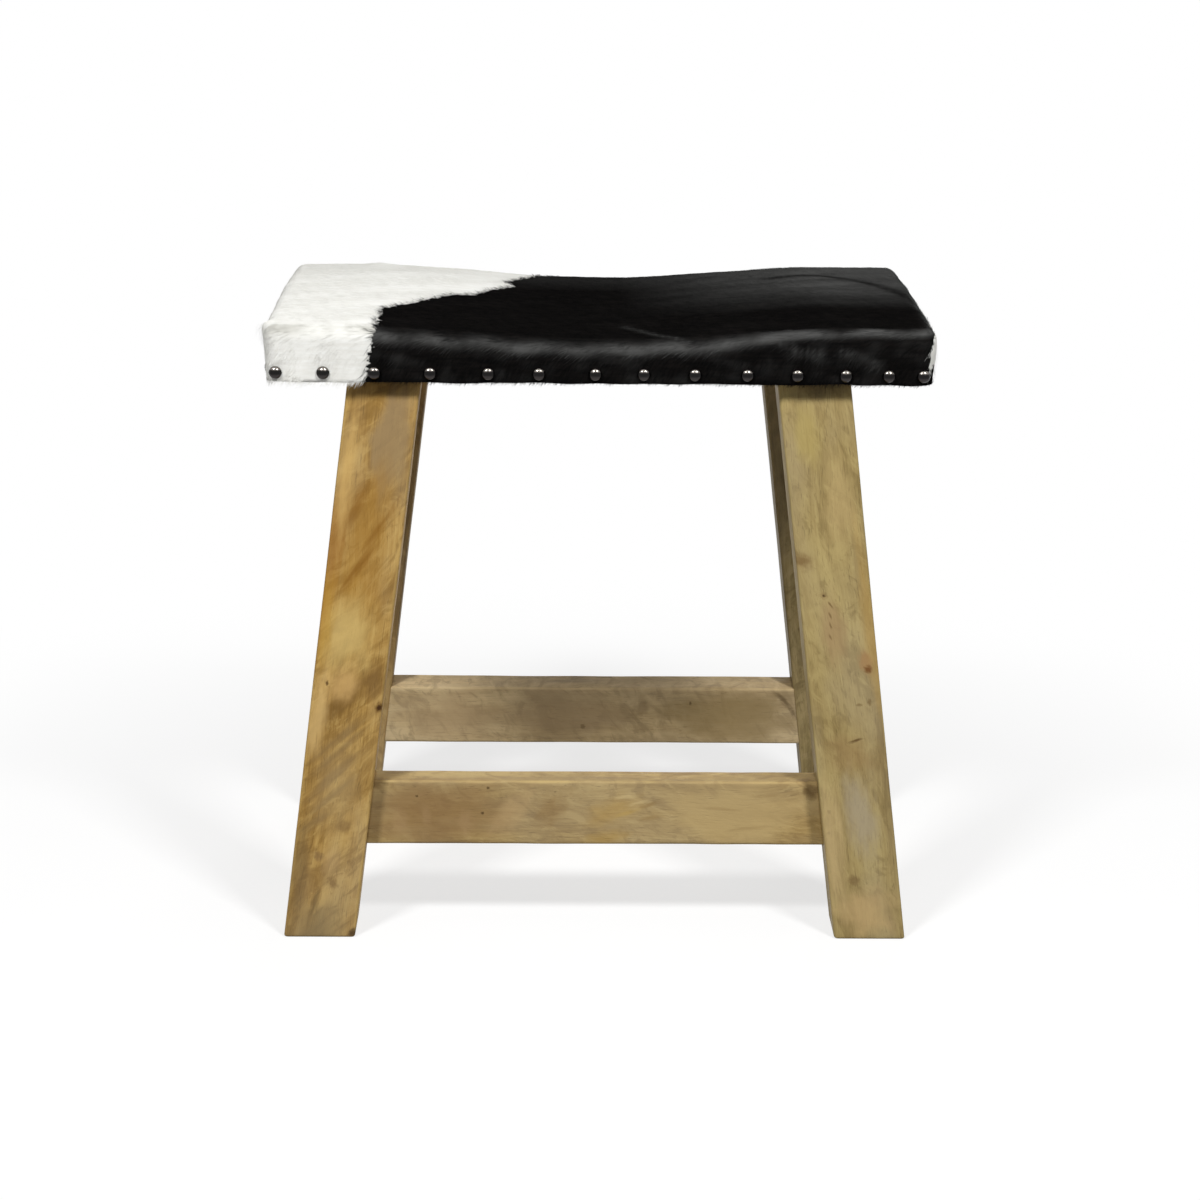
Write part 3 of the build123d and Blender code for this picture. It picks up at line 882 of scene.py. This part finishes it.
# The colours of the hair on the hide: black going brown, and grey where a sheen is painted
# on it; cream going pale, and duller where shade is painted on it.
tone_takes = {"Brown": 0.0, "Grey": 0.0, "Pale": 0.0, "Dull": 0.0, "White": 0.0}
hair_tones, mix, takes, gives = new_effect("hair_tones", tone_takes, {"Colour": (0, 0, 0, 1)})
black = mix.tint(takes["Brown"], tone("0C0C0C"), tone("161413"))
black = mix.tint(takes["Grey"], black, tone("4A4A49"))
white = mix.tint(takes["Pale"], tone("E4E3DD"), tone("EEEEEA"))
white = mix.tint(takes["Dull"], white, tone("BEBDB6"))
mix.join(mix.tint(takes["White"], black, white), gives["Colour"])

skin, mix = new_finish("hair_on_hide")
ragged = mix.noise(mix.stretch(mix.place(), (300, 160, 500)), detail=3.0)
edge = mix.sum("MULTIPLY_ADD", mix.sum("SUBTRACT", ragged, 0.5), 0.012, mix.marked("white"))
lay = mix.noise(mix.stretch(mix.place(), (45, 420, 420)), detail=4.0, roughness=0.6)
wires = dict.fromkeys(("Brown", "Pale"), mix.ramp(lay, 0.3, 0.7))
# The sheen mark greys the black hair as a painted sheen and dulls the white as painted shade.
wires |= dict.fromkeys(("Grey", "Dull"), mix.marked("sheen"))
wires["White"] = mix.ramp(edge, -0.0006, 0.0006)
colour = mix.group(hair_tones, wires)["Colour"]
rough = mix.ramp(lay, 0.2, 0.8, 0.42, 0.6)
mix.lay_on(colour, rough, {"Specular IOR Level": 0.0}, lay, 0.3, 0.0004)

suede, mix = new_finish("flesh_side")
nap = mix.noise(mix.place(), scale=700.0, detail=4.0)
colour = mix.tint(mix.ramp(nap, 0.3, 0.7), tone("A79C8A"), tone("C9C0B0"))
mix.lay_on(colour, mix.ramp(nap, 0.2, 0.8, 0.8, 0.95), {})

hide, hide_points, hide_quads = draw_hide()
hide.data.materials.append(skin)
hide.data.materials.append(suede)
wall = hide.modifiers.new("thickness", "SOLIDIFY")
wall.thickness = hide_thickness
wall.offset = -1.0
wall.material_offset = 1
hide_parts("cowhide_cover")
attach(hide, "root")

# The hair: short coarse hair that lies flat along the hide. It is combed towards the left
# end, turns down over the edges, and hangs past the cut lower edge in a ragged fringe.

hair_length = (0.006, 0.011)
hair_bend = (0.45, 0.55)
hair_width = 0.0003
hair_rise = (0.00004, 0.00032)
hair_sway = 0.11
root_sink = 0.0003
fringe_length = 0.0028
end_reach = 0.08


def comb_way(x, y, z):
    """The way the hair lies: towards the left end, opening out to the front and the back,
    downwards on the sides, with locks that swing to either side."""
    low = slope(seat_level(x, y) - z, 0, 0.02)
    swing = 0.3 * waver(81, x * 9, y * 9, z * 9) + 0.12 * waver(82, x * 40, y * 40, z * 40)
    way = np.stack([-np.ones_like(x), 0.5 + y * 3.2 + swing, -1.6 * low], axis=-1)
    way[:, 1] += 1.1 * (1 - low) * bell(whiteness(x, y, z), 0.012)
    return way / np.linalg.norm(way, axis=1, keepdims=True)


def grow_hair(name, quads, seed, count=19500):
    """One lot of hair: roots drawn evenly over the quads, more of them at the lower edge.
    Each hair is a thin spike, two rings of three points and a tip, that leaves the skin at
    a low angle and bends back along it."""
    draw = np.random.default_rng(seed)
    corners = hide_points[quads]
    across = np.cross(corners[:, 2] - corners[:, 0], corners[:, 3] - corners[:, 1])
    size = np.linalg.norm(across, axis=1)
    size *= 1 + 2.5 * (corners[:, :, 2].min(axis=1) < underside + 0.005)
    pick = draw.choice(len(quads), count, p=size / size.sum())
    u, v = draw.random((2, count, 1))
    a, b, c, d = np.moveaxis(corners[pick], 1, 0)
    root = a * (1 - u) * (1 - v) + b * u * (1 - v) + c * u * v + d * (1 - u) * v
    lift, up = stand_off(root)
    way = comb_way(*root.T) + draw.normal(scale=hair_sway, size=(count, 3))
    way -= up * np.sum(way * up, axis=1, keepdims=True)
    way /= np.linalg.norm(way, axis=1, keepdims=True)
    length = draw.uniform(*hair_length, (count, 1))
    height = draw.uniform(*hair_rise, (count, 1))
    x, y, z = root.T
    white = whiteness(x, y, z) + 0.0026 * waver(83, x * 130, y * 70, z * 200)
    white = white + draw.normal(scale=0.0012, size=count)
    height *= np.where(white > 0, 0.6, 1.0)[:, None]
    height += (0.0012 * bell(white + 0.002, 0.003) * draw.random(count))[:, None]
    for *tuft, reach, stand in tufts:
        close = np.exp(-(np.sum((root - tuft) ** 2, axis=1) / reach**2))[:, None]
        height += close * draw.uniform(0, stand, (count, 1))
    knee = root + way * length * hair_bend[0]
    gap, out = stand_off(knee)
    knee += out * (lift - gap + height)
    tip = knee + (way - out * np.sum(way * out, axis=1, keepdims=True)) * length * hair_bend[1]
    gap, out = stand_off(tip)
    tip += out * (lift - gap + height * draw.uniform(0.3, 1.5, (count, 1)))
    shaggy = 0.75 + 0.5 * waver(86, x * 28, y * 28) + 1.3 * (x < -0.17)
    hanging = underside - fringe_length * shaggy * draw.random(count) ** 1.2
    past = np.clip((z - hanging) / np.maximum(z - tip[:, 2], 1e-9), 0.1, 1)[:, None]
    knee = root + (knee - root) * past
    tip = root + (tip - root) * past
    side = np.cross(way, up) * hair_width / 2
    root = root - up * root_sink
    rings = [root - side, root + side, root + up * hair_width * 0.14]
    rings += [knee - side * 0.8, knee + side * 0.8, knee + out * hair_width * 0.12, tip]
    first = np.arange(count)[:, None] * len(rings)
    quad = np.concatenate([first + [3, 4, 1, 0], first + [4, 5, 2, 1], first + [5, 3, 0, 2]])
    cap = [[0, 1, 2], [6, 4, 3], [6, 5, 4], [6, 3, 5]]
    three = np.concatenate([first + corner for corner in cap])
    # The sheen mark is painted light, as on the hide: a painted sheen on black hair, painted
    # shade on white.
    marks = {"white": white > 0, "shade": draw.random(count), "sheen": painted_hair_light(root)}
    marks = {title: np.repeat(values, len(rings)) for title, values in marks.items()}
    hair = new_piece(name, np.stack(rings, axis=1), [quad, three], coat, **marks)
    hair.data.shade_flat()
    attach(hair, "root")
    return hair


coat, mix = new_finish("cow_hair")
shade = mix.marked("shade")
sheen = mix.marked("sheen")
wires = {"Brown": mix.ramp(shade, 0.5, 1.0), "Pale": mix.ramp(shade, 0.0, 1.0)}
# The sheen mark greys the black hair as a painted sheen and dulls the white as painted shade.
wires["Grey"] = mix.sum("MULTIPLY", sheen, mix.ramp(shade, 0.0, 1.0, 0.7, 1.3))
wires |= {"Dull": sheen, "White": mix.marked("white")}
colour = mix.group(hair_tones, wires)["Colour"]
rough = mix.ramp(shade, 0.0, 1.0, 0.38, 0.55)
mix.lay_on(colour, rough, {"Specular IOR Level": 0.0})

x, y, z = hide_points[hide_quads].mean(axis=1).T
on_top = z > seat_level(x, y) - edge_roll / 2
hair_ground = {
    "left": on_top & (x < -end_reach),
    "middle": on_top & (np.abs(x) < end_reach),
    "right": on_top & (x > end_reach),
    "sides": ~on_top,
}
hairs = [
    grow_hair(f"hair_{part}", hide_quads[ground], 90 + at)
    for at, (part, ground) in enumerate(hair_ground.items())
]

# The nails: forged heads with hammered facets, blackened and driven through the hide by eye.
# Their upper halves are painted pale grey, a painted highlight, and their lower edges a little
# paler, a painted reflection. One piece holds the nails of one side.

nail_radius = 0.0049
nail_height = 0.0033
nail_shank = 0.0009
nail_length = 0.013
nail_point = 0.004
head_steps = 28
head_rings = 9
facet_counts = (1, 5, 11)
facet_leans = (0.0, 0.62, 1.15)
sunk_nail = 0.0018
side_height = 0.03


def rays(turn, lean):
    """Directions that lean away from straight up, each turned round it."""
    flat = np.sin(lean)
    return np.stack([np.cos(turn) * flat, np.sin(turn) * flat, np.cos(lean) + 0 * turn], axis=-1)


def forge_nail(seed):
    """One nail, head up, as rings of x, y and z: rays from the middle of the head out to the
    nearest of its hammered planes, one on top and two rings round it, softened where they
    meet, then a square shank and its point."""
    draw = np.random.default_rng(seed)
    turn = np.linspace(0, 2 * pi, head_steps, endpoint=False)
    ray = rays(turn, np.linspace(0.06, pi / 2, head_rings)[:, None])
    count = sum(facet_counts)
    tilt = np.repeat(facet_leans, facet_counts) + draw.normal(scale=0.06, size=count)
    spin = np.concatenate([np.arange(facets) / facets for facets in facet_counts]) * 2 * pi
    spin = spin + draw.uniform(0, 2 * pi) + draw.normal(scale=0.12, size=count)
    far = 1.0 - 0.03 * draw.random(count)
    meet = np.maximum(ray @ rays(spin, tilt).T, 0) / far
    reach = 1 / (np.sum(meet**12, axis=-1) ** (1 / 12))
    reach = np.clip(reach * 1.12, 0.94, 1.0)
    rings = [reach[..., None] * ray * [nail_radius, nail_radius, nail_height]]
    square = nail_shank / np.maximum(np.abs(np.cos(turn)), np.abs(np.sin(turn)))
    for width, drop in ((1, 0), (1, nail_length - nail_point), (0.2, nail_length)):
        wide = square * width
        ring = [wide * np.cos(turn), wide * np.sin(turn), np.full(head_steps, -drop)]
        rings.append(np.stack(ring, axis=-1)[None])
    return np.concatenate(rings)


iron, mix = new_finish("antique_iron")
pitted = mix.noise(mix.place(), scale=700.0, detail=4.0, roughness=0.65)
height_with_pits = mix.sum("MULTIPLY_ADD", mix.sum("SUBTRACT", pitted, 0.5), 0.35, mix.marked("upper"))
# Painted light: the heads are dark in the middle, paler low down as a painted reflection and pale
# grey high up as a painted highlight; the pits break up the edges.
colour = mix.tint(mix.ramp(height_with_pits, -0.05, -0.5), tone("12100F"), tone("34302F"))
colour = mix.tint(mix.ramp(height_with_pits, 0.32, 0.62), colour, tone("7A756F"))
rough = mix.ramp(pitted, 0.3, 0.7, 0.18, 0.28)
plain = {"Metallic": 1.0, "Coat Weight": 0.3, "Coat Roughness": 0.2}
mix.lay_on(colour, rough, plain, pitted, 0.15, 0.0003)

for row, side in enumerate(nail_facing):
    face = np.array([*nail_facing[side], -side_draw / side_height])
    face = face / np.linalg.norm(face)
    across = np.array([*nail_facing[side][::-1], 0.0])
    turned = np.stack([across, np.cross(face, across), face])
    driven = []
    for at, place in enumerate(nail_places(side)):
        deeper = sunk_nail * (at == 0 and side in ("left", "right"))
        driven.append(place - face * deeper + forge_nail(200 + 20 * row + at) @ turned)
    driven = np.stack(driven)
    upper = (driven[..., 2] - underside - nail_rise) / nail_radius
    count, rings, sides = driven.shape[:3]
    faces = tube_faces(rings, sides, clockwise=True)
    faces = [some + at * rings * sides for at in range(count) for some in faces]
    nails = new_piece(f"nails_{side}_iron", driven, faces, iron, upper=upper)
    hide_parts(f"nails_{side}")
    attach(nails, "root")

# The studio: a pale floor that shows white round the bench and keeps its soft shadow, soft
# lamps at a plain level, and the camera at the photograph's angle.

floor_reach = 12.0
floor_corners = np.array([(-1, -1, 0), (1, -1, 0), (1, 1, 0), (-1, 1, 0)]) * floor_reach
camera_lens = 85.8276
camera_place = (-0.0307107, -2.2262902, 0.8732565)
camera_pan, camera_tilt, camera_roll = map(radians, (0.892, 16.159, 0.555))
lamp_aim = Vector((0, 0, 0.3))


def seen_directly(mix):
    """1 for rays from the camera, off a gloss or through glass, and 0 for rays that light."""
    ray = mix.add("LightPath").outputs
    straight = mix.sum("MAXIMUM", ray["Is Camera Ray"], ray["Is Glossy Ray"])
    return mix.sum("MAXIMUM", straight, ray["Is Transmission Ray"])


paper, mix = new_finish("studio_paper")
mix.shader.inputs["Base Color"].default_value = (0.3, 0.3, 0.3, 1)
mix.shader.inputs["Roughness"].default_value = 0.9
shadowed = mix.add("BsdfDiffuse", {"Color": (0.95, 0.95, 0.95, 1)}).outputs[0]
lit = mix.add("Emission", {"Color": (1, 1, 1, 1), "Strength": 1.0}).outputs[0]
far = mix.ramp(mix.length(mix.place()), 0.2, 0.9, 0.7, 1.0)
white = mix.add("MixShader", {0: far, 1: shadowed, 2: lit}).outputs[0]
unseen = mix.shader.outputs[0]
back = mix.add("MixShader", {0: seen_directly(mix), 1: unseen, 2: white}).outputs[0]
mix.join(back, mix.tree.nodes["Material Output"].inputs["Surface"])
floor = new_piece("studio_floor", floor_corners, [np.arange(4)[None, :]], paper)

world = bpy.data.worlds.new("studio")
world.use_nodes = True
mix = Recipe(world.node_tree)
sky = world.node_tree.nodes["Background"]
sky.inputs["Color"].default_value = (1, 1, 1, 1)
mix.join(mix.ramp(seen_directly(mix), 0.0, 1.0, 0.14, 1.0), sky.inputs["Strength"])
bpy.context.scene.world = world


def hang_lamp(name, place, size, power, shines=True):
    """A square soft light at a place, facing the bench."""
    lamp = bpy.data.lights.new(name, "AREA")
    lamp.size = size
    lamp.energy = power
    light = bpy.data.objects.new(name, lamp)
    light.location = place
    light.visible_camera = False
    light.visible_glossy = shines
    aim = lamp_aim - Vector(place)
    light.rotation_euler = aim.to_track_quat("-Z", "Y").to_euler()
    bpy.context.scene.collection.objects.link(light)


hang_lamp("left_lamp", (-1.1, -1.7, 2.35), 0.42, 52)
hang_lamp("right_lamp", (1.1, -1.7, 2.35), 0.42, 51)
hang_lamp("top_lamp", (0.0, -0.3, 2.8), 1.2, 1)
hang_lamp("back_lamp", (0.5, 2.4, 0.35), 1.2, 40, shines=False)

camera_data = bpy.data.cameras.new("camera")
camera_data.sensor_width = 36.0
camera_data.lens = camera_lens
camera = bpy.data.objects.new("camera", camera_data)
turn = Matrix.Rotation(-camera_pan, 4, "Z") @ Matrix.Rotation(pi / 2 - camera_tilt, 4, "X")
turn = turn @ Matrix.Rotation(camera_roll, 4, "Z")
camera.matrix_world = Matrix.Translation(camera_place) @ turn
bpy.context.scene.collection.objects.link(camera)
bpy.context.scene.camera = camera
bpy.context.scene.view_settings.view_transform = "Standard"
